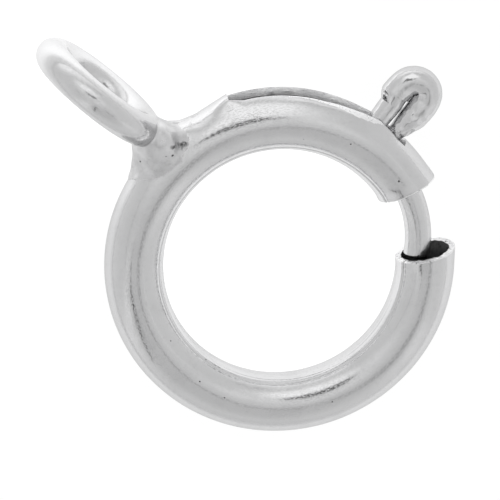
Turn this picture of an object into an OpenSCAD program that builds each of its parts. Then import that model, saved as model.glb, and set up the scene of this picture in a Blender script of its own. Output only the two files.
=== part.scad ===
// Spring ring clasp: a hollow wire ring with a gap, a sprung bolt that closes the gap,
// and a closed wire eye soldered to the ring's outside.
// Angles round the ring are measured anticlockwise, seen from above.

/* [Ring] */
// Outer diameter of the ring
ring_d = 7; // [6.5:0.1:9]
// Outer diameter of the tube that the ring is bent from
tube_d = 1.175; // [1.12:0.005:1.3]
// Wall of the tube
tube_wall = 0.12; // [0.09:0.005:0.13]
// Width of the seam that runs along the inside of the ring
seam_w = 0.04; // [0.02:0.005:0.06]
// How far the seam lies above the ring's innermost line, round the tube
seam_rise_deg = 38; // [30:1:50]

/* [Gap] */
// Where the mouth is that takes the bolt's tip
mouth_deg = 3.2; // [0:0.1:5]
// How far the mouth's cut is turned out of the radial direction
mouth_lean_deg = 9; // [0:1:12]
// Where the tube's other end is, which the bolt comes out of
upper_end_deg = 30.3; // [29:0.1:33]
// How far that end's cut is turned out of the radial direction
upper_lean_deg = 6; // [0:1:10]

/* [Bolt] */
// Diameter of the wire of the bolt and its trigger
wire_d = 0.53; // [0.48:0.005:0.55]
// Where the bolt's tip is when the clasp is shut, inside the mouth
tip_deg = 1; // [-2:0.1:2]
// Where the bolt starts to bend inwards
bend_deg = 38; // [36:1:42]
// Gap between the tip and the inside of the tube
tip_gap = 0.02; // [0.015:0.005:0.05]
// Length of the plain tail behind the trigger, which sits inside the spring
tail_len = 0.55; // [0.3:0.05:0.8]

/* [Trigger] */
// Where the trigger is when the clasp is shut
trigger_deg = 52.4; // [51:0.1:56]
// How far the trigger slides round to open the clasp
travel_deg = 48; // [40:1:50]
// Radius of the trigger's loop, to the middle of the wire
loop_r = 0.31; // [0.29:0.005:0.34]
// How far the loop's centre stands off the ring's outside
loop_stand = 0.8; // [0.7:0.05:1]
// How far each leg leans in from the loop to the slot
leg_lean_deg = 6; // [4:1:8]
// Diameter of the pinched legs where they pass through the slot
leg_d = 0.4; // [0.34:0.01:0.42]
// Gap between the trigger and the slot, on all sides
slot_gap = 0.03; // [0.02:0.005:0.05]

/* [Spring] */
// Diameter of the spring's wire
spring_wire_d = 0.09; // [0.07:0.005:0.1]
// Gap between the spring and the inside of the tube
spring_gap = 0.03; // [0.02:0.005:0.04]
// Number of turns in the spring
spring_turns = 22; // [16:1:26]
// Where the wall inside the tube is that the spring pushes on
stop_deg = 190; // [180:1:200]
// Thickness of that wall
stop_t = 0.15; // [0.1:0.01:0.2]

/* [Eye] */
// Outer diameter of the eye
eye_d = 3; // [2.6:0.1:3.4]
// Diameter of the eye's wire
eye_wire_d = 0.67; // [0.6:0.01:0.75]
// Where the eye is soldered to the ring
eye_deg = 133.6; // [130:0.1:138]
// How far the eye is turned out of the radial direction
eye_lean_deg = 8; // [0:1:12]
// Height of the solder between the tube and the eye
solder_h = 0.12; // [0.05:0.01:0.15]
// How far the solder spreads along the tube, to each side of the eye's wire
solder_spread = 0.5; // [0.3:0.05:0.6]
// Width of the solder across the tube
solder_w = 1.02; // [0.9:0.01:1.06]

/* [Hidden] */
$fn = 96;
// Wire that carries on from another stretch starts this far inside it, and is this much
// thinner, so that the two stretches join cleanly.
overlap = 0.03;
step_in = 0.002;

tube_r = tube_d / 2;
bore_r = tube_r - tube_wall;
ring_r = ring_d / 2 - tube_r;
wire_r = wire_d / 2;

// The front of the bolt is an arc of a smaller circle, which leaves the ring's line at
// bend_deg and reaches the tip at tip_gap from the inside of the tube.
front_sweep = bend_deg - tip_deg;
tip_r = ring_r - (bore_r - wire_r - tip_gap);
front_shift = (ring_r ^ 2 - tip_r ^ 2) / (2 * (ring_r - tip_r * cos(front_sweep)));
front_r = ring_r - front_shift;
front_turn = front_sweep + asin(front_shift * sin(front_sweep) / front_r);
overlap_deg = overlap / front_r * 180 / PI;

// The trigger's legs leave the loop along its tangents and end inside the bolt.
loop_at = ring_d / 2 + loop_stand;
leg_top = loop_at - loop_r * sin(leg_lean_deg);
leg_len = (leg_top - ring_r) / cos(leg_lean_deg);
leg_foot = loop_r * cos(leg_lean_deg) - leg_len * sin(leg_lean_deg);
leg_half = (leg_foot + leg_d / 2 + (ring_d / 2 - ring_r) * tan(leg_lean_deg)) / (ring_d / 2);
leg_half_deg = asin(leg_half);
loop_top = loop_at + loop_r + wire_r;

// The slot takes the trigger's legs over their whole travel.
slot_w = wire_d + 2 * slot_gap;
slot_gap_deg = slot_gap / (ring_d / 2) * 180 / PI;
slot_from = trigger_deg - leg_half_deg - slot_gap_deg;
slot_to = trigger_deg + travel_deg + leg_half_deg + slot_gap_deg;

// The tail and the spring start behind the trigger's rear leg.
foot_half_deg = asin((leg_foot + leg_d / 2) / (ring_r - wire_r));
spring_gap_deg = spring_gap / ring_r * 180 / PI;
spring_from = trigger_deg + foot_half_deg + spring_gap_deg;
stop_half_deg = stop_t / 2 / ring_r * 180 / PI;
spring_to = stop_deg - stop_half_deg - spring_gap_deg;
tail_to = spring_from + tail_len / ring_r * 180 / PI;
coil_r = bore_r - spring_gap - spring_wire_d / 2;
coil_sides = 5;
coil_steps = 12;

// The eye stands on the solder, in a plane that also holds the ring's axis.
eye_r = eye_d / 2 - eye_wire_d / 2;
joint_at = ring_d / 2 + solder_h;
eye_centre = joint_at * dir(eye_deg) + eye_d / 2 * dir(eye_deg + eye_lean_deg);
eye_at = norm(eye_centre);
eye_at_deg = atan2(eye_centre.y, eye_centre.x);
solder_top = joint_at + eye_wire_d / 3;
solder_foot = ring_r + bore_r / 2;
neck_half = eye_wire_d / 2 + overlap;
spread_half = neck_half + solder_spread;
spread_edge = sqrt((ring_d / 2) ^ 2 - spread_half ^ 2) - overlap;
across_edge = ring_r + sqrt(tube_r ^ 2 - (solder_w / 2) ^ 2) - overlap;

// At rest the ring's far side and the bottom of the eye touch the ground.
rest_deg = asin((eye_d / 2 - tube_r) / (eye_at + ring_r));
ring_z = ring_r * sin(rest_deg) + tube_r;
mid_x = (eye_at * cos(rest_deg) + eye_d / 2 - ring_r * cos(rest_deg) - tube_r) / 2;
mid_y = (ring_d / 2 - loop_top) / 2;

function dir(angle) = [cos(angle), sin(angle)];
function about(centre, radius, angle) = centre + radius * dir(angle);

// Turns a shape from the ring's own frame to where it lies at rest.
module lie_down() {
    translate([-mid_x, -mid_y, ring_z])
        rotate([0, -rest_deg, 0])
            rotate([0, 0, -eye_at_deg])
                children();
}

// A round bar bent to a whole circle or to an arc of one.
module bent_bar(bend_r, bar_r, from = 0, sweep = 360) {
    rotate([0, 0, from])
        rotate_extrude(angle = sweep)
            translate([bend_r, 0])
                circle(r = bar_r);
}

// The piece cut out between the tube's two ends.
module gap() {
    reach = tube_d;
    mouth = ring_r * dir(mouth_deg);
    upper = ring_r * dir(upper_end_deg);
    mouth_cut = mouth_deg + mouth_lean_deg;
    upper_cut = upper_end_deg - upper_lean_deg;
    linear_extrude(height = 2 * tube_d, center = true)
        polygon([
            about(mouth, -reach, mouth_cut),
            about(mouth, reach, mouth_cut),
            about(upper, reach, upper_cut),
            about(upper, -reach, upper_cut)
        ]);
}

// The slot along the outside that the trigger slides in.
module slot() {
    rotate([0, 0, slot_from])
        rotate_extrude(angle = slot_to - slot_from)
            translate([ring_r, -slot_w / 2])
                square([tube_d, slot_w]);
}

// The groove where the tube's rolled edges meet.
module seam() {
    rotate_extrude()
        translate([
            ring_r - tube_r * cos(seam_rise_deg),
            tube_r * sin(seam_rise_deg)
        ])
            circle(d = seam_w);
}

// The hollow of the tube, which stops at the spring's wall.
module hollow() {
    bent_bar(ring_r, bore_r, stop_deg + stop_half_deg, 360 - 2 * stop_half_deg);
}

// The closed wire ring that joins the clasp to a chain.
module eye() {
    translate([eye_centre.x, eye_centre.y, 0])
        rotate([90, 0, eye_deg + eye_lean_deg])
            bent_bar(eye_r, eye_wire_d / 2);
}

// A neck that flares out along two hollow curves, from its top to a wide foot.
module flare(edge, wide) {
    difference() {
        translate([solder_foot, -wide])
            square([solder_top - solder_foot, 2 * wide]);
        for (side = [1, -1])
            translate([solder_top, side * wide])
                scale([solder_top - edge, wide - neck_half])
                    circle(r = 1);
    }
}

// The solder between the tube and the eye, which flares along the tube and across it.
module solder() {
    rotate([0, 0, eye_deg])
        intersection() {
            linear_extrude(height = tube_d, center = true)
                flare(spread_edge, spread_half);
            rotate([0, 0, -45])
                rotate_extrude(angle = 90)
                    flare(across_edge, solder_w / 2);
        }
}

module case() {
    color("silver")
        lie_down()
            difference() {
                union() {
                    bent_bar(ring_r, tube_r);
                    eye();
                    solder();
                }
                hollow();
                seam();
                gap();
                slot();
            }
}

// One leg of the trigger, on the side given by 1 or -1.
module leg(side) {
    translate([leg_top, side * loop_r * cos(leg_lean_deg), 0])
        rotate([0, -90, side * leg_lean_deg])
            translate([0, 0, -overlap])
                cylinder(h = leg_len + overlap, r1 = wire_r - step_in, r2 = leg_d / 2);
}

module trigger() {
    rotate([0, 0, trigger_deg]) {
        translate([loop_at, 0, 0])
            bent_bar(loop_r, wire_r, -90 - leg_lean_deg, 180 + 2 * leg_lean_deg);
        leg(1);
        leg(-1);
    }
}

module bolt() {
    color("gainsboro")
        lie_down() {
            bent_bar(ring_r, wire_r, bend_deg, tail_to - bend_deg);
            translate([front_shift * cos(bend_deg), front_shift * sin(bend_deg), 0])
                bent_bar(front_r, wire_r - step_in, bend_deg - front_turn, front_turn + overlap_deg);
            trigger();
        }
}

// One ring of points round the spring's wire, at a share of the way along it.
function coil_point(share, corner) =
    let (
        along = spring_from + share * (spring_to - spring_from),
        turn = share * spring_turns * 360,
        slope = atan((ring_r * (spring_to - spring_from) * PI / 180)
            / (spring_turns * 2 * PI * coil_r)),
        radial = spring_wire_d / 2 * cos(corner * 360 / coil_sides),
        axial = spring_wire_d / 2 * sin(corner * 360 / coil_sides),
        out = ring_r + (coil_r + radial) * cos(turn) + axial * sin(slope) * sin(turn),
        up = (coil_r + radial) * sin(turn) - axial * sin(slope) * cos(turn),
        shift = axial * cos(slope) / ring_r * 180 / PI
    )
    [out * cos(along + shift), out * sin(along + shift), up];

module spring() {
    steps = spring_turns * coil_steps;
    points = [
        for (step = [0 : steps])
            for (corner = [0 : coil_sides - 1])
                coil_point(step / steps, corner)
    ];
    sides = [
        for (step = [0 : steps - 1])
            for (corner = [0 : coil_sides - 1])
                let (
                    here = step * coil_sides,
                    next = (corner + 1) % coil_sides
                )
                [
                    here + corner,
                    here + next,
                    here + coil_sides + next,
                    here + coil_sides + corner
                ]
    ];
    front = [for (corner = [coil_sides - 1 : -1 : 0]) corner];
    back = [for (corner = [0 : coil_sides - 1]) steps * coil_sides + corner];
    color("lightgray")
        lie_down()
            polyhedron(points = points, faces = concat(sides, [front, back]));
}

case();
bolt();
spring();
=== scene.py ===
"""The looks of the spring ring clasp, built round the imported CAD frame.

Shapes are made in millimetres in the ring's own frame, where the ring lies flat round the origin,
and are then laid down and scaled to the row frame. Angles are in degrees. The angle round the tube
is 0 on the outside of the ring and 90 on top.
"""

import math

import bmesh
import bpy
import numpy as np
from mathutils import Matrix, Vector


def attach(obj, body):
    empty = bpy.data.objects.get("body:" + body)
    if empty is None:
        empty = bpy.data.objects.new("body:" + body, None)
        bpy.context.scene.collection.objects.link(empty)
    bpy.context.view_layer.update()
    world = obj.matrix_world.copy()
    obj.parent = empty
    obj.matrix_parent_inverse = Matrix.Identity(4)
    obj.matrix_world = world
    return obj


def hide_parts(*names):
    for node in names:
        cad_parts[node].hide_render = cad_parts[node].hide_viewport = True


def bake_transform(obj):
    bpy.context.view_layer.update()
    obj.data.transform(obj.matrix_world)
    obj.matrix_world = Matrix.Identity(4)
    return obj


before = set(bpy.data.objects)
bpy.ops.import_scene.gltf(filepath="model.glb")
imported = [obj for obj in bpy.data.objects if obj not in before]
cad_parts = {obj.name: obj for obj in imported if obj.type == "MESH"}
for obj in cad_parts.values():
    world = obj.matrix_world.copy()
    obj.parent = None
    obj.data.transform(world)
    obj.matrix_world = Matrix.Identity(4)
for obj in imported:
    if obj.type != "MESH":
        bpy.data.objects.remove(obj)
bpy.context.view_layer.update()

# One millimetre in the row frame's metres.
MM = 0.001

# Sizes of the CAD model.
RING_D = 7.0
TUBE_R = 0.5875
WALL = 0.12
BORE_R = TUBE_R - WALL
RING_R = RING_D / 2 - TUBE_R
SEAM_W = 0.04
SEAM_AT = 180 - 38
MOUTH = 3.2
MOUTH_LEAN = 9
UPPER_END = 30.3
UPPER_LEAN = 6
WIRE_R = 0.265
TIP = 1.0
BEND = 38.0
TIP_GAP = 0.02
TRIGGER = 52.4
LOOP_R = 0.31
LOOP_AT = RING_D / 2 + 0.8
SLOT_HALF = 0.295
SLOT_FROM = 44.8911
SLOT_TO = 107.909
SPRING_FROM = 60.9337
SPRING_TO = 187.934
TAIL_TO = 71.7535
COIL_R = 0.3925
COIL_WIRE_R = 0.045
TURNS = 22
STOP = 190.0
STOP_HALF = 1.475
EYE_R = 1.165
EYE_WIRE_R = 0.335
EYE_AT = 133.6
EYE_LEAN = 8.0
SOLDER_H = 0.12

# A radius inside the tube's wall, where the solder and the spring's wall end.
IN_WALL_R = BORE_R + 0.05


def deg(value):
    return np.radians(value)


def direction(angle):
    return np.array([math.cos(deg(angle)), math.sin(deg(angle)), 0.0])


joint_foot = RING_D / 2 * direction(EYE_AT)
eye_out = direction(EYE_AT + EYE_LEAN)
eye_across = np.cross([0, 0, 1], eye_out)
eye_centre = (RING_D / 2 + SOLDER_H) * direction(EYE_AT) + (EYE_R + EYE_WIRE_R) * eye_out
eye_at = float(np.hypot(eye_centre[0], eye_centre[1]))
eye_at_deg = math.degrees(math.atan2(eye_centre[1], eye_centre[0]))

# The clasp lies on the ring's far side and on the bottom of the eye, with its box over the origin.
rest_tilt = math.asin((EYE_R + EYE_WIRE_R - TUBE_R) / (eye_at + RING_R))
ring_z = RING_R * math.sin(rest_tilt) + TUBE_R
eye_end = eye_at * math.cos(rest_tilt) + EYE_R + EYE_WIRE_R
mid_x = (eye_end - RING_R * math.cos(rest_tilt) - TUBE_R) / 2
mid_y = (RING_D / 2 - LOOP_AT - LOOP_R - WIRE_R) / 2
LIE_DOWN = (
    Matrix.Scale(MM, 4)
    @ Matrix.Translation((-mid_x, -mid_y, ring_z))
    @ Matrix.Rotation(-rest_tilt, 4, "Y")
    @ Matrix.Rotation(-math.radians(eye_at_deg), 4, "Z")
)


def in_row(point):
    return LIE_DOWN @ Vector(point)


# Mesh helpers.

# Edges sharper than the first are bevelled, and those sharper than the second are shaded sharp.
BEVEL_ANGLE = 50
SHADING_ANGLE = 35

LUMP_WAVES = 24


def spans(breaks, counts):
    """Breakpoints with evenly spaced values between each pair."""
    values = [breaks[0]]
    for low, high, count in zip(breaks[:-1], breaks[1:], counts):
        values += list(np.linspace(low, high, count + 1)[1:])
    return np.array(values)


def table(rows, value):
    """The value between the rows of a table of pairs."""
    return np.interp(value, [a for a, _ in rows], [b for _, b in rows])


def smooth(edge0, edge1, value):
    """0 up to edge0 and 1 from edge1 on, with a smooth change between them."""
    t = np.clip((value - edge0) / (edge1 - edge0), 0, 1)
    return t * t * (3 - 2 * t)


def wave(*arguments):
    """A smooth irregular value between about -1 and 1 from a few sines of each argument."""
    total = 0.0
    for n, value in enumerate(arguments):
        total = total + np.sin(value + 1.7 * n) + np.sin(value * 2.3 + 4.1 + n)
        total = total + 0.6 * np.sin(value * 4.1 + 2.2 * n + 0.7)
    return total / (2.6 * len(arguments))


def lumps(points, size, seed):
    """Lumps of about that size in every direction, from a sum of waves; mostly between -1 and 1."""
    random = np.random.default_rng(seed)
    total = 0.0
    for _ in range(LUMP_WAVES):
        way = random.normal(size=3)
        way = way / np.linalg.norm(way) * 2 * np.pi / (size * random.uniform(0.8, 2.2))
        total = total + np.sin(points @ way + random.uniform(0, 2 * np.pi))
    return total / 5


def new_object(name, points, faces, indices=None, materials=()):
    mesh = bpy.data.meshes.new(name)
    mesh.from_pydata([tuple(p) for p in points], [], [tuple(f) for f in faces])
    if indices is not None:
        mesh.polygons.foreach_set("material_index", indices)
    for material in materials:
        mesh.materials.append(material)
    obj = bpy.data.objects.new(name, mesh)
    bpy.context.scene.collection.objects.link(obj)
    return obj


def clean(obj, bevel=0.0):
    """Points every face outwards and rounds the sharp edges."""
    bm = bmesh.new()
    bm.from_mesh(obj.data)
    bmesh.ops.recalc_face_normals(bm, faces=bm.faces)
    if bevel:
        sharpest = math.radians(BEVEL_ANGLE)
        bmesh.ops.bevel(
            bm,
            geom=[e for e in bm.edges if len(e.link_faces) == 2 and e.calc_face_angle() > sharpest],
            offset=bevel,
            segments=2,
            profile=0.5,
            affect="EDGES",
            clamp_overlap=True,
        )
    bm.to_mesh(obj.data)
    bm.free()


def join(obj, others):
    """Merges closed solids into one, and removes the other objects."""
    for other in others:
        modifier = obj.modifiers.new("join", "BOOLEAN")
        modifier.operation = "UNION"
        modifier.solver = "MANIFOLD"
        modifier.material_mode = "TRANSFER"
        modifier.object = other
    bpy.context.view_layer.update()
    evaluated = obj.evaluated_get(bpy.context.evaluated_depsgraph_get())
    mesh = bpy.data.meshes.new_from_object(evaluated)
    obj.modifiers.clear()
    obj.data = mesh
    for other in others:
        bpy.data.objects.remove(other)


def lay_down(obj):
    """Moves a piece from the ring's frame to the row frame, and shades it."""
    mesh = obj.data
    mesh.transform(LIE_DOWN)
    mesh.polygons.foreach_set("use_smooth", [True] * len(mesh.polygons))
    mesh.set_sharp_from_angle(angle=math.radians(SHADING_ANGLE))
    mesh.update()


def sweep(path, radius, sides=48, squash=None, up=(0, 0, 1)):
    """Rings of points round a path, with a radius for each point of the path. up, which may differ
    from point to point, is at right angles to the path, and squash, where given, is the ratio of
    the thickness along up to the width."""
    path = np.asarray(path, float)
    tangent = np.gradient(path, axis=0)
    tangent /= np.linalg.norm(tangent, axis=1)[:, None]
    up = np.broadcast_to(np.asarray(up, float), path.shape)
    side = np.cross(up, tangent)
    side /= np.linalg.norm(side, axis=1)[:, None]
    turn = np.linspace(0, 2 * np.pi, sides, endpoint=False)
    ratio = np.ones(len(path)) if squash is None else np.asarray(squash, float)
    ring = (
        np.cos(turn)[None, :, None] * side[:, None, :]
        + np.sin(turn)[None, :, None] * up[:, None, :] * ratio[:, None, None]
    )
    return path[:, None, :] + ring * np.asarray(radius, float)[:, None, None]


def rod(name, points, material):
    """A solid from rings of points, closed at both ends on a centre point."""
    count, sides = points.shape[:2]
    faces = []
    for i in range(count - 1):
        for j in range(sides):
            k = (j + 1) % sides
            faces.append((i * sides + j, i * sides + k, (i + 1) * sides + k, (i + 1) * sides + j))
    flat = np.vstack([points.reshape(-1, 3), points[0].mean(0), points[-1].mean(0)])
    first, last = len(flat) - 2, len(flat) - 1
    for j in range(sides):
        k = (j + 1) % sides
        faces.append((first, k, j))
        faces.append((last, (count - 1) * sides + j, (count - 1) * sides + k))
    obj = new_object(name, flat, faces, materials=(material,))
    clean(obj)
    return obj


def iso_mesh(field, low, high, step):
    """The zero surface of a field of signed distances, as points and quads."""
    axes = [np.arange(a, b, step) for a, b in zip(low, high)]
    grid = np.stack(np.meshgrid(*axes, indexing="ij"), -1)
    inside = field(grid) < 0
    n = np.array(inside.shape) - 1
    count = np.zeros(n, int)
    for dx in (0, 1):
        for dy in (0, 1):
            for dz in (0, 1):
                count += inside[dx : n[0] + dx, dy : n[1] + dy, dz : n[2] + dz]
    active = (count > 0) & (count < 8)
    index = np.full(n, -1)
    index[active] = np.arange(active.sum())
    start = np.argwhere(active) * step + np.array([a[0] for a in axes]) + step / 2
    points = start.copy()
    small = step * 0.05
    # Each point moves down the field's slope to the surface, and stays near its own cell.
    for _ in range(8):
        value = field(points)
        slope = np.stack(
            [
                (field(points + small * axis) - field(points - small * axis)) / (2 * small)
                for axis in np.eye(3)
            ],
            -1,
        )
        move = slope * (value / np.maximum((slope**2).sum(-1), 0.05))[:, None]
        points = start + np.clip(points - move - start, -0.8 * step, 0.8 * step)
    # A quad crosses each edge of the grid that runs from inside to outside.
    faces = []
    for axis in range(3):
        b, c = (axis + 1) % 3, (axis + 2) % 3
        here = np.moveaxis(inside, (axis, b, c), (0, 1, 2))
        cells = np.moveaxis(index, (axis, b, c), (0, 1, 2))
        change = here[:-1, 1:-1, 1:-1] != here[1:, 1:-1, 1:-1]
        rising = here[:-1, 1:-1, 1:-1]
        for i, j, k in np.argwhere(change):
            quad = [cells[i, j, k], cells[i, j + 1, k], cells[i, j + 1, k + 1], cells[i, j, k + 1]]
            faces.append(quad if rising[i, j, k] else quad[::-1])
    return points, faces


# The tube.

# Each table has an angle round the ring and a value. The lips of the slot stand out, by more or
# less along the lip that is on top, the near one, and along the far one.
NEAR_LIP = (
    (44, 0), (60, 0.025), (72, 0.06), (82, 0.085), (92, 0.095), (104, 0.095), (110, 0.07), (119, 0),
)
FAR_LIP = (
    (44, 0), (52, 0.04), (57, 0.07), (62, 0.06), (72, 0.068), (82, 0.088), (92, 0.1), (107.9, 0.1),
    (111, 0.06), (119, 0),
)
# The near lip curls up further, close to its edge, beside the trigger and at the slot's end.
CURL = (
    (48, 0), (57, 0.11), (62, 0.075), (67, 0.045), (76, 0), (103.5, 0), (108, 0.11), (111, 0.07),
    (115, 0),
)
# The tube is thicker round the foot of the eye.
FOOT = (
    (120, 0), (124, 0.045), (127.5, 0.11), (131, 0.13), (140, 0.12), (146, 0.05), (150, 0),
)
# The near lip's edge is worn to a facet: how deep it is, how many degrees of it carry a painted
# highlight, which is a lighter copy of the silver, if any, and how many degrees it takes in.
FACET = ((50, 0), (56, 0.015), (66, 0.04), (85, 0.02), (98, 0))
HIGHLIGHT_SPAN = ((54, -1), (57, 7), (64, 11), (74, 6), (86, 2), (97, -1))
FACET_WIDTH = 12

# Between these angles round the tube, away from the slot's middle, each of them fades out.
LIP_FADE = (24, 66)
CURL_FADE = (26, 48)
FOOT_FADE = (30, 58)

# How ragged both cuts are in degrees round the ring, over how many degrees that fades out along the
# tube, and how far the mouth's cut turns with its height.
UPPER_RAGGED = 0.16
UPPER_FADE = 8
MOUTH_RAGGED = 0.3
MOUTH_FADE = 10
MOUTH_TURN = 5
# How far and over what length the ends flare, the same of the mouth's burr, and the share of the
# burr that is left on the skin.
UPPER_FLARE = 0.018
MOUTH_FLARE = 0.014
FLARE_LENGTH = 0.16
BURR = 0.012
BURR_LENGTH = 0.05
BURR_ON_SKIN = 0.35
# The unevenness of the hand-polished skin, in long waves and in shorter ones.
UNEVEN = 0.0016
FINELY_UNEVEN = 0.0009

SEAM_DEPTH = 0.016
SEAM_HALF_DEG = 2.2
EDGE_BEVEL = 0.012

# Columns of the tube's mesh across the slot.
SLOT_STEPS = 10

# Places of the case's materials in its list.
SKIN, BORE, CUT, HIGHLIGHT_STRIP, RIM = range(5)


def along_cut(rho, at, lean):
    """The angle round the ring at which a line at that distance from the middle meets a cut."""
    t = -RING_R * math.cos(deg(lean)) + np.sqrt(rho**2 - (RING_R * math.sin(deg(lean))) ** 2)
    x = RING_R * math.cos(deg(at)) + t * math.cos(deg(at + lean))
    y = RING_R * math.sin(deg(at)) + t * math.sin(deg(at + lean))
    return np.degrees(np.arctan2(y, x))


def tube_surface(thetas, betas, radius, slot_half_deg, skin):
    """A grid of points on the outer skin, or on the bore where skin is 0."""
    theta, beta = np.meshgrid(thetas, betas, indexing="ij")
    rough = BURR_ON_SKIN if skin else 1.0
    # Rough cuts at both ends, which lean.
    rho = RING_R + radius * np.cos(deg(beta))
    height = radius * np.sin(deg(beta))
    to_upper = along_cut(rho, UPPER_END, -UPPER_LEAN) - UPPER_END
    to_mouth = along_cut(rho, MOUTH, MOUTH_LEAN) - MOUTH
    to_mouth = to_mouth - np.degrees(height / RING_R * math.tan(deg(MOUTH_TURN)))
    ragged = wave(deg(beta) * 5 + 7 * skin, deg(beta) * 9)
    to_upper = to_upper + UPPER_RAGGED * ragged
    to_mouth = to_mouth + MOUTH_RAGGED * ragged
    near_upper = 1 - smooth(0, UPPER_FADE, theta - UPPER_END)
    near_mouth = 1 - smooth(0, MOUTH_FADE, 360 + MOUTH - theta)
    theta = theta + to_upper * near_upper + to_mouth * near_mouth
    # The ends flare, and the mouth has a burr.
    off_upper = (theta - UPPER_END - to_upper) * deg(1) * RING_R
    off_mouth = (360 + MOUTH + to_mouth - theta) * deg(1) * RING_R
    grow = UPPER_FLARE * np.exp(-((off_upper / FLARE_LENGTH) ** 2))
    grow = grow + MOUTH_FLARE * np.exp(-((off_mouth / FLARE_LENGTH) ** 2))
    grow = grow + BURR * np.exp(-((off_mouth / BURR_LENGTH) ** 2)) * wave(deg(beta) * 7) * rough
    grow = grow + UNEVEN * wave(deg(theta) * 9, deg(beta) * 2.0) * skin
    grow = grow + FINELY_UNEVEN * wave(deg(theta) * 14, deg(beta) * 5.0) * skin
    # The seam.
    off_seam = (beta - SEAM_AT) * deg(1) * TUBE_R
    grow = grow - SEAM_DEPTH * skin * np.clip(1 - abs(off_seam) / (SEAM_W / 2), 0, 1)
    # The slot's lips and the foot of the eye stand out.
    turn = (beta + 180) % 360 - 180
    near = smooth(-slot_half_deg, slot_half_deg, turn)
    turn = abs(turn)
    lip = table(FAR_LIP, theta) * (1 - near) + table(NEAR_LIP, theta) * near
    lift = lip * (1 - smooth(*LIP_FADE, turn))
    lift = lift + table(CURL, theta) * near * (1 - smooth(*CURL_FADE, turn))
    lift = lift + table(FOOT, theta) * (1 - smooth(*FOOT_FADE, turn))
    off_lip = np.clip(abs(beta - slot_half_deg) / FACET_WIDTH, 0, 1)
    grow = grow - skin * table(FACET, theta) * (1 - off_lip)
    rho = RING_R + (radius + grow) * np.cos(deg(beta)) + lift
    height = (radius + grow) * np.sin(deg(beta))
    return np.stack([rho * np.cos(deg(theta)), rho * np.sin(deg(theta)), height], -1)


def tube_solid(materials):
    """The tube, with its outer skin and its bore, both cut ends and the slot."""
    # Rows of points round the ring, closest at its ends and along the slot.
    thetas = spans(
        [
            UPPER_END,
            UPPER_END + 2,
            UPPER_END + 8,
            SLOT_FROM,
            SLOT_FROM + 1,
            SLOT_TO - 1,
            SLOT_TO,
            118,
            355,
            361.2,
            360 + MOUTH,
        ],
        [10, 8, 8, 2, 80, 2, 12, 210, 8, 10],
    )
    slot_half_deg = math.degrees(math.asin(SLOT_HALF / TUBE_R))
    slot_half_in = math.degrees(math.asin(SLOT_HALF / BORE_R))
    # Columns of points round the tube, closest at the lips of the slot and at the seam.
    betas = spans(
        [
            -slot_half_deg,
            slot_half_deg,
            42,
            SEAM_AT - SEAM_HALF_DEG,
            SEAM_AT,
            SEAM_AT + SEAM_HALF_DEG,
            360 - slot_half_deg - 6,
            360 - slot_half_deg,
        ],
        [SLOT_STEPS, 8, 28, 3, 3, 46, 4],
    )[:-1]
    inner_betas = np.interp(
        betas,
        [-slot_half_deg, slot_half_deg, SEAM_AT, 180, 360 - slot_half_deg],
        [-slot_half_in, slot_half_in, SEAM_AT, 180, 360 - slot_half_in],
    )
    outer = tube_surface(thetas, betas, TUBE_R, slot_half_deg, 1)
    inner = tube_surface(thetas, inner_betas, BORE_R, slot_half_deg, 0)
    rows, cols = outer.shape[:2]
    slot_first, slot_last = [int(np.argmin(abs(thetas - a))) for a in (SLOT_FROM, SLOT_TO)]
    faces, kinds = [], []

    # The faces along the near lip's facet that get the painted highlight.
    def in_highlight_strip(theta, beta):
        return slot_half_deg - 0.1 <= beta < slot_half_deg + table(HIGHLIGHT_SPAN, theta)

    def at(i, j, side):
        return side * rows * cols + i * cols + j % cols

    def add(kind, *corners):
        faces.append(corners)
        kinds.append(kind)

    for i in range(rows - 1):
        in_slot = slot_first <= i < slot_last
        by_end = i < 2 or i > rows - 4
        for j in range(cols):
            if in_slot and j < SLOT_STEPS:
                continue
            kind = HIGHLIGHT_STRIP if in_highlight_strip(thetas[i], betas[j]) else RIM if by_end else SKIN
            add(kind, at(i, j, 0), at(i + 1, j, 0), at(i + 1, j + 1, 0), at(i, j + 1, 0))
            add(BORE, at(i, j, 1), at(i, j + 1, 1), at(i + 1, j + 1, 1), at(i + 1, j, 1))
        if in_slot:
            j = SLOT_STEPS
            add(CUT, at(i, 0, 0), at(i, 0, 1), at(i + 1, 0, 1), at(i + 1, 0, 0))
            add(CUT, at(i, j, 0), at(i + 1, j, 0), at(i + 1, j, 1), at(i, j, 1))
    for j in range(cols):
        i = rows - 1
        add(RIM, at(0, j, 0), at(0, j + 1, 0), at(0, j + 1, 1), at(0, j, 1))
        add(RIM, at(i, j, 0), at(i, j, 1), at(i, j + 1, 1), at(i, j + 1, 0))
        if j < SLOT_STEPS:
            i = slot_first
            add(CUT, at(i, j, 0), at(i, j, 1), at(i, j + 1, 1), at(i, j + 1, 0))
            i = slot_last
            add(CUT, at(i, j, 0), at(i, j + 1, 0), at(i, j + 1, 1), at(i, j, 1))
    points = np.vstack([outer.reshape(-1, 3), inner.reshape(-1, 3)])
    obj = new_object("clasp_case", points, faces, kinds, materials)
    clean(obj, bevel=EDGE_BEVEL)
    return obj


def stop_solid(material):
    """The wall inside the tube that the spring pushes on."""
    path = [RING_R * direction(a) for a in np.linspace(STOP - STOP_HALF, STOP + STOP_HALF, 4)]
    return rod("stop", sweep(path, [IN_WALL_R] * len(path)), material)


# The eye and its solder.

# The solder's edge on the tube, as an angle round the tube, and how thick it is on the outside of
# the ring, both by the angle round the ring.
CREASE = (
    (127.6, 6), (129, 30), (130.4, 62), (132, 80), (136, 76.5), (140, 72.5), (142.5, 66),
    (145, 58.5), (147.5, 39.5), (150.2, 6),
)
BUILD_UP = (
    (126.8, 0), (127.6, 0.09), (129, 0.19), (131, 0.25), (139, 0.28), (142.3, 0.23), (144.4, 0.16),
    (147, 0.08), (150.2, 0),
)
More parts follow.
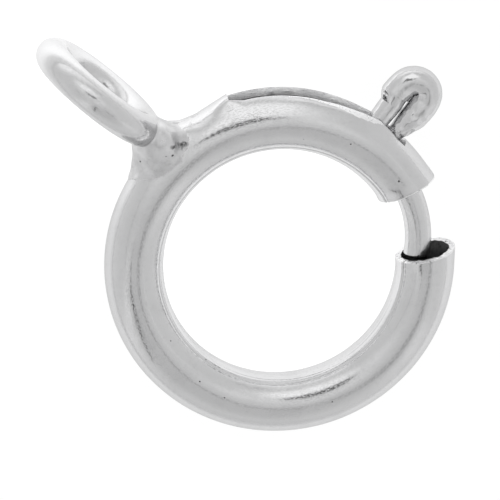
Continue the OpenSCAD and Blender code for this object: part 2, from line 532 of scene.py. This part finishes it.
# Two lumps at the foot of the eye: the angle, the distance from the ring's middle and the height
# of the centre, and the half-lengths outwards, along the tube and up.
LUMPS = (
    ((132.0, 3.66, 0.32), (0.31, 0.25, 0.4)),
    ((136.4, 3.64, 0.25), (0.34, 0.3, 0.38)),
)
LUMP_BLEND = 0.28
EYE_BLEND = 0.06
# The solder ends in a small step on the tube, sinks below the tube's skin beyond it and below the
# eye's everywhere, and reaches no further than this from the middle of the joint.
EDGE_STEP = 0.018
SUNK_IN_TUBE = 0.012
SUNK_IN_EYE = 0.008
SOLDER_REACH = 1.02
# How high its roughness is, and about how long each bump.
SOLDER_ROUGH = 0.011
SOLDER_BUMP = 0.28
# The box and the step of the grid that its mesh is made on.
SOLDER_BOX = 1.07
SOLDER_GRID = 0.024
# A lump is an ellipsoid at a power of 2, and flatter on top at a higher one.
LUMP_POWER = 2.7

EYE_UNEVEN = 0.0015


def eye_solid(material):
    turn = np.linspace(0, 2 * np.pi, 160, endpoint=False)
    sides = np.linspace(0, 2 * np.pi, 48, endpoint=False)
    a, b = np.meshgrid(turn, sides, indexing="ij")
    wire = EYE_WIRE_R + EYE_UNEVEN * wave(a * 5, b * 2)
    reach = EYE_R + wire * np.cos(b)
    points = (
        eye_centre
        + (reach * np.cos(a))[..., None] * eye_out
        + (reach * np.sin(a))[..., None] * np.array([0, 0, 1.0])
        + (wire * np.sin(b))[..., None] * eye_across
    )
    rows, cols = a.shape
    faces = []
    for i in range(rows):
        for j in range(cols):
            here, after = i * cols, (i + 1) % rows * cols
            k = (j + 1) % cols
            faces.append((here + j, here + k, after + k, after + j))
    obj = new_object("eye", points.reshape(-1, 3), faces, materials=(material,))
    clean(obj)
    return obj


def tube_distance(p):
    rho = np.hypot(p[..., 0], p[..., 1]) - RING_R
    return np.hypot(rho, p[..., 2])


def eye_distance(p):
    q = p - eye_centre
    reach = np.hypot(q @ eye_out, q[..., 2])
    return np.hypot(reach - EYE_R, q @ eye_across)


def soft_union(a, b, blend):
    near = np.maximum(blend - abs(a - b), 0) / blend
    return np.minimum(a, b) - near**2 * blend / 4


def lump_field(p, at, sizes):
    """Less than 0 inside a lump, which is a row of LUMPS."""
    angle, reach, height = at
    out, side = direction(angle), direction(angle + 90)
    q = p - reach * out - np.array([0, 0, height])
    q = np.stack([q @ out / sizes[0], q @ side / sizes[1], q[..., 2] / sizes[2]], -1)
    length = (abs(q) ** LUMP_POWER).sum(-1) ** (1 / LUMP_POWER)
    return (length - 1) * min(sizes)


def solder_field(p):
    """Less than 0 inside the solder, which runs from the tube up to the eye."""
    theta = np.degrees(np.arctan2(p[..., 1], p[..., 0]))
    rho = np.hypot(p[..., 0], p[..., 1]) - RING_R
    beta = abs(np.degrees(np.arctan2(p[..., 2], rho)))
    share = beta / np.maximum(table(CREASE, theta), 1)
    lift = table(FOOT, theta) * (1 - smooth(*FOOT_FADE, beta))
    film = np.maximum(table(BUILD_UP, theta) * (1 - smooth(0.1, 0.95, share)), lift)
    film = film + EDGE_STEP * (1 - smooth(0.92, 1.06, share)) - SUNK_IN_TUBE
    rough = SOLDER_ROUGH * lumps(p, SOLDER_BUMP, 4)
    blob = tube_distance(p) - TUBE_R - film - rough * (film > 0.01)
    for at, sizes in LUMPS:
        blob = soft_union(blob, lump_field(p, at, sizes) - 0.5 * rough, LUMP_BLEND)
    eye = eye_distance(p) - EYE_WIRE_R + SUNK_IN_EYE
    both = soft_union(blob, eye, EYE_BLEND)
    far = np.linalg.norm(p - joint_foot, axis=-1) - SOLDER_REACH
    hollow = IN_WALL_R - tube_distance(p)
    return np.maximum(np.maximum(both, far), hollow)


def solder_solid(material):
    low, high = joint_foot - SOLDER_BOX, joint_foot + SOLDER_BOX
    points, faces = iso_mesh(solder_field, low, high, SOLDER_GRID)
    obj = new_object("solder", points, faces, materials=(material,))
    clean(obj)
    return obj


# The bolt with its trigger.

END_ROUNDING = 0.07
WIRE_UNEVEN = 0.0012

# The trigger's wire from the rear foot round the head to the front foot, in the plane of the ring:
# how far out from the ring's middle, how far to the rear, half the width, and thickness to width.
REAR_LEG = (
    (2.9, 0.175, 0.19, 1.1),
    (3.3, 0.2, 0.198, 1.15),
    (3.5, 0.234, 0.212, 1.1),
    (3.7, 0.236, 0.226, 1.05),
    (3.9, 0.237, 0.227, 1.05),
    (4.0, 0.275, 0.262, 1.0),
    (4.08, 0.301, 0.296, 0.94),
    (4.2, 0.298, 0.293, 0.93),
)
HEAD_AT = 4.285
HEAD_R = 0.292
HEAD_HALF = 0.288
HEAD_SQUASH = 0.93
HEAD_TURN = 84
FRONT_LEG = (
    (4.18, -0.3, 0.295, 0.93),
    (4.05, -0.298, 0.29, 0.95),
    (3.9, -0.283, 0.275, 1.0),
    (3.8, -0.266, 0.258, 1.03),
    (3.65, -0.236, 0.219, 1.1),
    (3.5, -0.205, 0.178, 1.2),
    (3.3, -0.18, 0.165, 1.2),
    (2.9, -0.165, 0.165, 1.2),
)
# The crack in the rear leg: how far out and to the rear, half its lengths that way, and its depth.
CRACK_AT = (3.985, 0.52)
CRACK_SIZE = (0.018, 0.045)
CRACK_DEPTH = 0.05
# The wrinkles: how long each is, and how high they are on the front leg, inside the bend and
# everywhere.
WRINKLE_SIZE = 0.13
LEG_WRINKLES = 0.006
BEND_WRINKLES = 0.005
ALL_WRINKLES = 0.0015
# The step along the path of the trigger's mesh, and its sides.
TRIGGER_STEP = 0.012
TRIGGER_SIDES = 96


def trigger_solid(material):
    head = [
        (HEAD_AT + HEAD_R * math.cos(deg(a)), HEAD_R * math.sin(deg(a)), HEAD_HALF, HEAD_SQUASH)
        for a in np.linspace(HEAD_TURN, -HEAD_TURN, 15)
    ]
    rows = np.array(list(REAR_LEG) + head + list(FRONT_LEG))
    length = np.concatenate([[0], np.cumsum(np.hypot(*np.diff(rows[:, :2], axis=0).T))])
    fine = np.arange(0, length[-1], TRIGGER_STEP)
    rows = np.stack([np.interp(fine, length, column) for column in rows.T], -1)
    # The corners of the path are rounded off.
    for _ in range(5):
        rows[1:-1] = (rows[:-2] + 2 * rows[1:-1] + rows[2:]) / 4
    out, side = direction(TRIGGER), direction(TRIGGER + 90)
    path = rows[:, :1] * out + rows[:, 1:2] * side
    points = sweep(path, rows[:, 2], TRIGGER_SIDES, squash=rows[:, 3])
    # Wrinkles where the pliers squeezed the front leg and the inside of the bend.
    q = points - path[:, None, :]
    outwards = q / np.linalg.norm(q, axis=-1, keepdims=True)
    far = (points @ out)[..., None]
    aside = (points @ side)[..., None]
    in_front = 1 - smooth(-0.12, 0.02, aside)
    wrinkled = in_front * smooth(3.45, 3.6, far) * (1 - smooth(3.95, 4.15, far))
    inner = 1 - smooth(0.1, 0.34, np.hypot(far - 4.2, aside * 1.4))
    ripple = lumps(points, WRINKLE_SIZE, 7)[..., None]
    high = LEG_WRINKLES * wrinkled + BEND_WRINKLES * inner + ALL_WRINKLES
    points = points + outwards * high * ripple
    # The crack where the rear leg meets the head.
    crack = np.hypot((far - CRACK_AT[0]) / CRACK_SIZE[0], (aside - CRACK_AT[1]) / CRACK_SIZE[1])
    uneven = 1 + 0.5 * lumps(points, 0.05, 9)[..., None]
    points = points - outwards * CRACK_DEPTH * np.exp(-(crack**2)) * uneven
    return rod("trigger", points, material)


def bolt_solid(material):
    """The bent wire, from its tip in the mouth to its tail, and the trigger."""
    tip_r = RING_R - (BORE_R - WIRE_R - TIP_GAP)
    front_deg = BEND - TIP
    shift = (RING_R**2 - tip_r**2) / (2 * (RING_R - tip_r * math.cos(deg(front_deg))))
    front_r = RING_R - shift
    turn = front_deg + math.degrees(math.asin(shift * math.sin(deg(front_deg)) / front_r))
    centre = shift * direction(BEND)
    front = [centre + front_r * direction(a) for a in np.linspace(BEND - turn, BEND, 70)]
    back = [RING_R * direction(a) for a in np.linspace(BEND, TAIL_TO, 60)[1:]]
    path = np.array(front + back)
    length = np.concatenate([[0], np.cumsum(np.linalg.norm(np.diff(path, axis=0), axis=1))])
    radius = WIRE_R + WIRE_UNEVEN * wave(length * 4)
    for from_end in (length, length[-1] - length):
        inwards = (END_ROUNDING - from_end).clip(0)
        rounded = np.sqrt(np.clip(END_ROUNDING**2 - inwards**2, 0, None))
        radius = np.minimum(radius, WIRE_R - END_ROUNDING + rounded)
    obj = rod("clasp_bolt", sweep(path, radius, 64), material)
    join(obj, [trigger_solid(material)])
    return obj


# The spring.

TURN_STEPS = 28


def spring_solid(material):
    share = np.linspace(0, 1, TURNS * TURN_STEPS + 1)
    along = SPRING_FROM + share * (SPRING_TO - SPRING_FROM)
    turn = share * TURNS * 2 * np.pi
    rho = RING_R + COIL_R * np.cos(turn)
    path = np.stack([rho * np.cos(deg(along)), rho * np.sin(deg(along)), COIL_R * np.sin(turn)], -1)
    tangent = np.gradient(path, axis=0)
    tangent /= np.linalg.norm(tangent, axis=1)[:, None]
    middle = np.stack([RING_R * np.cos(deg(along)), RING_R * np.sin(deg(along)), 0 * along], -1)
    out = path - middle
    out -= (out * tangent).sum(1)[:, None] * tangent
    out /= np.linalg.norm(out, axis=1)[:, None]
    points = sweep(path, np.full(len(path), COIL_WIRE_R), 10, up=out)
    return rod("clasp_spring", points, material)


# Materials.

# How much light plain silver reflects, and how rough its polish is.
SILVER = 0.68
POLISH = 0.1
# Edges seen at a flat angle reflect a little less, as on worn silver.
EDGE_TINT = (0.78, 0.78, 0.78, 1)
# Silver is slightly bluish.
BLUISH = 1.008
# The height in metres of one unit of relief, the depth of a pit in those units, how dark the painted
# shade in a pit is, and how dark a painted spot of shade or dark reflection is.
RELIEF = 0.0000006
PIT_DEPTH = 12.0
PIT_DARK = 0.85
PAINTED_SPOT_DARK = 0.4
# The angle round the tube of the long lines beside the seam, and how high they are.
DRAWN_AT = SEAM_AT + 14
DRAWN_HEIGHT = 22.0


def node(tree, kind, inputs=(), **settings):
    """A shader node with its settings and its inputs, which are values or other nodes' outputs."""
    made = tree.nodes.new(kind)
    for name, value in settings.items():
        setattr(made, name, value)
    for key, value in dict(inputs).items():
        if isinstance(value, bpy.types.NodeSocket):
            tree.links.new(value, made.inputs[key])
        else:
            made.inputs[key].default_value = value
    return made


def maths(tree, operation, a, b=0.0, clamp=False):
    made = node(tree, "ShaderNodeMath", {0: a, 1: b}, operation=operation, use_clamp=clamp)
    return made.outputs[0]


def vector_maths(tree, operation, output, a, b=(0, 0, 0)):
    made = node(tree, "ShaderNodeVectorMath", {0: a, 1: b}, operation=operation)
    return made.outputs[output]


def ramp(tree, value, start, end, low, high):
    """low up to start and high from end on, with a smooth change between them."""
    return node(
        tree,
        "ShaderNodeMapRange",
        {"Value": value, "From Min": start, "From Max": end, "To Min": low, "To Max": high},
        interpolation_type="SMOOTHSTEP",
    ).outputs["Result"]


def noise(tree, place, scale, detail, stretch=None):
    if stretch:
        place = vector_maths(tree, "MULTIPLY", "Vector", place, stretch)
    inputs = {"Vector": place, "Scale": scale, "Detail": detail}
    return node(tree, "ShaderNodeTexNoise", inputs).outputs["Fac"]


def spot(tree, place, at, edge, inner, outer, strength):
    """strength as far as inner from a place and 0 beyond outer. edge is added to the distance."""
    away = vector_maths(tree, "DISTANCE", "Value", place, at)
    return ramp(tree, maths(tree, "ADD", away, edge), inner, outer, strength, 0.0)


def ring_places(tree, ring_frame, radius):
    """The place in the frame of a ring, and the place on its wire as millimetres along the ring
    and the angle round the wire. ring_frame is the ring's frame in the piece's."""
    back = ring_frame.inverted()
    place = node(
        tree,
        "ShaderNodeMapping",
        {
            "Vector": node(tree, "ShaderNodeTexCoord").outputs["Object"],
            "Location": back.to_translation(),
            "Rotation": back.to_3x3().normalized().to_euler(),
            "Scale": (1 / MM, 1 / MM, 1 / MM),
        },
    ).outputs[0]
    parts = node(tree, "ShaderNodeSeparateXYZ", {0: place}).outputs
    flat = node(tree, "ShaderNodeCombineXYZ", {0: parts[0], 1: parts[1]}).outputs[0]
    out = vector_maths(tree, "LENGTH", "Value", flat)
    along = maths(tree, "ARCTAN2", parts[1], parts[0])
    around = maths(tree, "ARCTAN2", parts[2], maths(tree, "SUBTRACT", out, radius))
    on_wire = {0: maths(tree, "MULTIPLY", along, radius), 1: around}
    return place, node(tree, "ShaderNodeCombineXYZ", on_wire).outputs[0]


def metal(
    name, level, roughness, ring_frame=LIE_DOWN, radius=RING_R,
    lines=1.0, speckle=1.0, cloud=0.04, pits=(), painted_spots=(), drawn=0.0, flecks=0.0,
):
    """A worn metal, with painted shade and painted dark reflections where they are given. lines is
    the strength of the polishing lines along the wire, speckle that of the small pocks, cloud the
    share by which patches are darker, pits are small holes darkened with painted shade, and the
    larger soft spots are painted shade or painted dark reflections, each a place and a radius in
    millimetres, drawn is the strength of the long lines beside the seam and flecks the share by
    which the smallest spots are darker."""
    material = bpy.data.materials.new(name)
    material.use_nodes = True
    tree = material.node_tree
    shader = tree.nodes["Principled BSDF"]
    shader.inputs["Metallic"].default_value = 1.0
    shader.inputs["Specular Tint"].default_value = EDGE_TINT
    place, on_wire = ring_places(tree, ring_frame, radius)

    patches = noise(tree, place, 1.6, 3.0)
    fine_patches = noise(tree, place, 9.0, 3.0)
    lined = noise(tree, on_wire, 1.0, 3.0, (2.5, 26, 1))
    pocks = noise(tree, on_wire, 1.0, 4.0, (16, 26, 1))

    dark = ramp(tree, patches, 0.45, 0.7, 0.0, cloud)
    dark = maths(tree, "ADD", dark, ramp(tree, fine_patches, 0.5, 0.72, 0.0, cloud * 0.7))
    if flecks:
        tiny = noise(tree, place, 27.0, 2.0)
        dark = maths(tree, "ADD", dark, ramp(tree, tiny, 0.6, 0.68, 0.0, flecks))
    # Each spot darkens the colour as painted shade or as a painted dark reflection.
    for at, size in painted_spots:
        edge = ramp(tree, fine_patches, 0.3, 0.7, -size * 0.5, size * 0.5)
        painted_spot = spot(tree, place, at, edge, size * 0.3, size * 1.2, PAINTED_SPOT_DARK)
        dark = maths(tree, "ADD", dark, painted_spot)
    # The darkening of each pit is painted shade in the hole.
    hole = None
    for at, size in pits:
        edge = ramp(tree, pocks, 0.35, 0.65, -size * 0.4, size * 0.4)
        pit = spot(tree, place, at, edge, size * 0.6, size * 1.3, 1.0)
        hole = maths(tree, "MAXIMUM", hole, pit) if hole else pit
    if hole:
        dark = maths(tree, "MAXIMUM", dark, maths(tree, "MULTIPLY", hole, PIT_DARK))
    bright = maths(tree, "MULTIPLY", maths(tree, "SUBTRACT", 1.0, dark, clamp=True), level)
    blue = maths(tree, "MULTIPLY", bright, BLUISH)
    tint = node(tree, "ShaderNodeCombineColor", {0: bright, 1: bright, 2: blue}).outputs[0]
    tree.links.new(tint, shader.inputs["Base Color"])

    rough = ramp(tree, patches, 0.35, 0.75, roughness * 0.8, roughness * 1.25)
    rough = maths(tree, "ADD", rough, ramp(tree, lined, 0.4, 0.75, 0.0, roughness * 0.35 * lines))
    rough = maths(tree, "ADD", rough, maths(tree, "MULTIPLY", dark, 0.25))
    tree.links.new(rough, shader.inputs["Roughness"])

    height = maths(tree, "MULTIPLY", lined, 0.5 * lines)
    height = maths(tree, "ADD", height, ramp(tree, pocks, 0.5, 0.64, 0.0, 1.3 * speckle))
    height = maths(tree, "ADD", height, maths(tree, "MULTIPLY", fine_patches, 0.8 * speckle))
    if hole:
        height = maths(tree, "SUBTRACT", height, maths(tree, "MULTIPLY", hole, PIT_DEPTH))
    if drawn:
        around = node(tree, "ShaderNodeSeparateXYZ", {0: on_wire}).outputs[1]
        off = maths(tree, "SUBTRACT", around, math.radians(DRAWN_AT))
        beside = ramp(tree, maths(tree, "ABSOLUTE", off), 0.14, 0.34, drawn, 0.0)
        long_lines = noise(tree, on_wire, 1.0, 1.0, (0.3, 11, 1))
        height = maths(tree, "ADD", height, maths(tree, "MULTIPLY", beside, long_lines))
    bump = node(tree, "ShaderNodeBump", {"Height": height, "Distance": RELIEF})
    tree.links.new(bump.outputs[0], shader.inputs["Normal"])
    return material


# Small pits in the tube's skin, each darkened with painted shade: the angle round the ring and round
# the tube, and the radius.
TUBE_PITS = (
    ((37.8, 92.5), 0.024),
    ((62.8, 94.5), 0.014),
    ((290.5, 86), 0.016),
    ((82, 113.5), 0.012),
    ((210, 71), 0.014),
    ((232.5, 145.5), 0.014),
    ((234.8, 99), 0.016),
    ((247, 94), 0.014),
    ((213.5, 116.5), 0.014),
)
# Pits in the solder, each darkened with painted shade, and a painted dark reflection at its edge as
# a few spots, also with how far each lies above the tube.
SOLDER_PITS = (
    ((142.2, 29.7, 0.22), 0.02),
    ((134.9, 56.2, 0.24), 0.02),
    ((133.2, 60.4, 0.16), 0.022),
)
DARK_REFLECTION = (
    ((131.1, 54, 0.26), 0.06),
    ((130.4, 54.3, 0.2), 0.08),
    ((129.4, 54.2, 0.08), 0.08),
    ((128.2, 56, 0.02), 0.07),
    ((127.2, 57.4, 0), 0.06),
)
# Painted shade in the slit between the trigger's legs, as dark spots on the wire: the distance from
# the ring's middle and the radius of each spot, and the height of them all.
SLIT_SHADE = ((3.85, 0.06), (4.0, 0.07), (4.1, 0.05))
SLIT_SHADE_HEIGHT = 0.12

# The eye's own frame, in which the eye lies flat round the origin.
EYE_FRAME = (
    LIE_DOWN
    @ Matrix.Translation(eye_centre)
    @ Matrix(
        (
            (*eye_out, 0),
            (0, 0, 1, 0),
            (*np.cross(eye_out, [0, 0, 1]), 0),
            (0, 0, 0, 1),
        )
    ).transposed()
)


def on_tube(theta, beta, out=0.0):
    reach = TUBE_R + out
    rho = RING_R + reach * math.cos(deg(beta))
    return Vector(rho * direction(theta)) + Vector((0, 0, reach * math.sin(deg(beta))))


def places(spots):
    return [(on_tube(*at), size) for at, size in spots]


# The pieces.

# A painted dark reflection on the tube and the solder beside the knuckle of the eye.
dark_reflection = places(DARK_REFLECTION)
polished = metal(
    "polished silver", SILVER, POLISH, pits=places(TUBE_PITS), painted_spots=dark_reflection, drawn=DRAWN_HEIGHT
)
eye_silver = metal("polished eye wire", SILVER, POLISH, EYE_FRAME, EYE_R)
solder = metal(
    "silver solder", SILVER, 0.34,
    lines=0.2, speckle=1.2, cloud=0.12, pits=places(SOLDER_PITS), painted_spots=dark_reflection, flecks=0.06,
)
bore = metal("tarnished bore", 0.3, 0.4, cloud=0.4)
cut = metal("sawn edge", 1.0, 0.45, lines=0.5, speckle=3.0, cloud=0.12, flecks=0.2)
# A lighter copy of the silver, which paints a highlight along the near lip's facet.
painted_highlight = metal("burnished edge", 0.95, 0.16, speckle=2.0, flecks=0.3)
rim = metal("bright rim", 1.0, 0.25, lines=0.3, speckle=6.0, cloud=0.1, flecks=0.8)
case = tube_solid((polished, bore, cut, painted_highlight, rim))
join(case, [eye_solid(eye_silver), solder_solid(solder), stop_solid(bore)])
lay_down(case)
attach(case, "case")
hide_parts("case")

# The painted shade along the slit, as places on the trigger's wire.
slit_shade = [
    (Vector(direction(TRIGGER)) * reach + Vector((0, 0, SLIT_SHADE_HEIGHT)), size) for reach, size in SLIT_SHADE
]
bolt = bolt_solid(metal("silver wire", SILVER, 0.13, lines=1.4, speckle=1.5, painted_spots=slit_shade))
lay_down(bolt)
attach(bolt, "bolt")
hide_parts("bolt")

spring = spring_solid(metal("spring wire", 0.5, 0.25))
lay_down(spring)
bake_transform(spring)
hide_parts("spring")

# The studio.

# The photograph shows the ring as a circle tilted by the first angle about a line at right angles
# to the second. Its middle and its scale place the camera, which is far away, so nearly parallel.
CAMERA_TILT = 17.6
CAMERA_TOWARDS = 112.6
PX_PER_MM = 50.36
RING_PX = (279.47, 260.84)
FRAME_PX = 500
CAMERA_AWAY = 380.0

# The table is lit most beside the clasp and inside the ring, and less beyond two wide curves. Each
# row has a centre, two distances from it in metres, and the change of light before and after them.
TABLE_GREY = (0.14, 0.14, 0.14, 1)
TABLE_LIGHT = 0.91
TABLE_LIGHTS = (
    ((0.0063, -0.001, 0), 0.001, 0.0068, 0.5, 0),
    ((-0.0015, 0.0007, 0), 0.002, 0.0036, 0.19, 0),
    ((0.0092, -0.0092, 0), 0.0202, 0.0235, 0, -0.2),
    ((-0.0111, -0.0092, 0), 0.0202, 0.0235, 0, -0.1),
)

# Soft light from all round, with brighter and darker places. Each has its azimuth, its angle from
# overhead, its reach up and down and sideways in degrees, its softness and its change of brightness.
BASE_LIGHT = 0.757
LIGHTS = (
    (180, 180, 98, 98, 0.2, 0.12),
    (-45, 38, 12, 20, 0.6, 0.5),
    (-42, 19, 7.4, 12, 0.2, -0.68),
    (103, 43, 19, 1.7, 0.5, -0.6),
    (108, 31, 6, 3, 0.6, -0.3),
    (84, 42, 18, 6, 0.6, 0.12),
    (88, 72, 26, 7, 0.6, 0.13),
    (132, 34, 26, 26, 0.6, -0.1),
    (170, 30, 10, 4, 0.6, -0.24),
    (-142, 38, 2, 18, 0.6, 0.1),
    (55, 39, 1.8, 16, 0.6, -0.14),
    (180, 64, 18, 8, 0.6, 0.12),
    (45, 40, 16, 18, 0.7, -0.02),
    (0, 26, 14, 14, 0.7, 0.13),
    (270, 24, 10, 14, 0.7, 0.15),
    (250, 3, 8, 10, 0.7, 0.1),
    (-75, 64, 6, 10, 0.7, -0.1),
    (-45, 82, 14, 32, 0.7, 0.34),
    (-20, 82, 14, 18, 0.6, 0.16),
    (135, 90, 12, 26, 0.7, -0.1),
    (0, 4, 22, 22, 0.7, 0.04),
)


def set_camera():
    towards = math.radians(CAMERA_TOWARDS)
    cos, sin = math.cos(math.radians(CAMERA_TILT)), math.sin(math.radians(CAMERA_TILT))
    minor = Vector(direction(CAMERA_TOWARDS))
    major = Vector(direction(CAMERA_TOWARDS - 90))
    tilted = minor * cos - Vector((0, 0, sin))
    turn = LIE_DOWN.to_3x3().normalized()
    right = turn @ (major * math.sin(towards) + tilted * math.cos(towards))
    up = turn @ (tilted * math.sin(towards) - major * math.cos(towards))
    back = turn @ (minor * sin + Vector((0, 0, cos)))
    aim = in_row((0, 0, 0)) + MM / PX_PER_MM * (
        right * (FRAME_PX / 2 - RING_PX[0]) + up * (RING_PX[1] - FRAME_PX / 2)
    )
    camera = bpy.data.objects.new("camera", bpy.data.cameras.new("camera"))
    bpy.context.scene.collection.objects.link(camera)
    turned = Matrix((right, up, back)).transposed().to_4x4()
    camera.matrix_world = Matrix.Translation(aim + back * CAMERA_AWAY * MM) @ turned
    camera.data.lens = CAMERA_AWAY * camera.data.sensor_width / (FRAME_PX / PX_PER_MM)
    camera.data.clip_start = 0.01
    camera.data.clip_end = 10
    bpy.context.scene.camera = camera


def table_paper():
    paper = bpy.data.materials.new("white table")
    paper.use_nodes = True
    tree = paper.node_tree
    shader = tree.nodes["Principled BSDF"]
    shader.inputs["Base Color"].default_value = TABLE_GREY
    shader.inputs["Roughness"].default_value = 1
    shader.inputs["Specular IOR Level"].default_value = 0
    shader.inputs["Emission Color"].default_value = (1, 1, 1, 1)
    place = node(tree, "ShaderNodeTexCoord").outputs["Object"]
    total = TABLE_LIGHT
    for at, start, end, low, high in TABLE_LIGHTS:
        away = vector_maths(tree, "DISTANCE", "Value", place, at)
        total = maths(tree, "ADD", ramp(tree, away, start, end, low, high), total)
    tree.links.new(total, shader.inputs["Emission Strength"])
    return paper


def light_studio():
    world = bpy.data.worlds.new("studio")
    bpy.context.scene.world = world
    world.use_nodes = True
    tree = world.node_tree
    look = node(tree, "ShaderNodeTexCoord").outputs["Generated"]
    total = BASE_LIGHT
    for azimuth, zenith, high, wide, soft, change in LIGHTS:
        sideways = Matrix.Rotation(math.radians(azimuth), 3, "Z")
        turned = sideways @ Matrix.Rotation(math.radians(zenith), 3, "Y")
        reach = [2 * math.sin(math.radians(size) / 2) for size in (high, wide)]
        near = node(
            tree,
            "ShaderNodeMapping",
            {
                "Vector": look,
                "Location": turned @ Vector((0, 0, 1)),
                "Rotation": turned.to_euler(),
                "Scale": (reach[0], reach[1], max(reach)),
            },
            vector_type="TEXTURE",
        ).outputs[0]
        away = vector_maths(tree, "LENGTH", "Value", near)
        part = ramp(tree, away, 1 + soft, 1 - soft, 0.0, change)
        total = maths(tree, "ADD", part, total)
    background = tree.nodes["Background"]
    background.inputs["Color"].default_value = (1, 1, 1, 1)
    tree.links.new(total, background.inputs["Strength"])


set_camera()
light_studio()
corners = [(-1, -1, 0), (1, -1, 0), (1, 1, 0), (-1, 1, 0)]
floor = new_object("floor", corners, [(0, 1, 2, 3)], materials=(table_paper(),))
bpy.context.scene.view_settings.view_transform = "Standard"
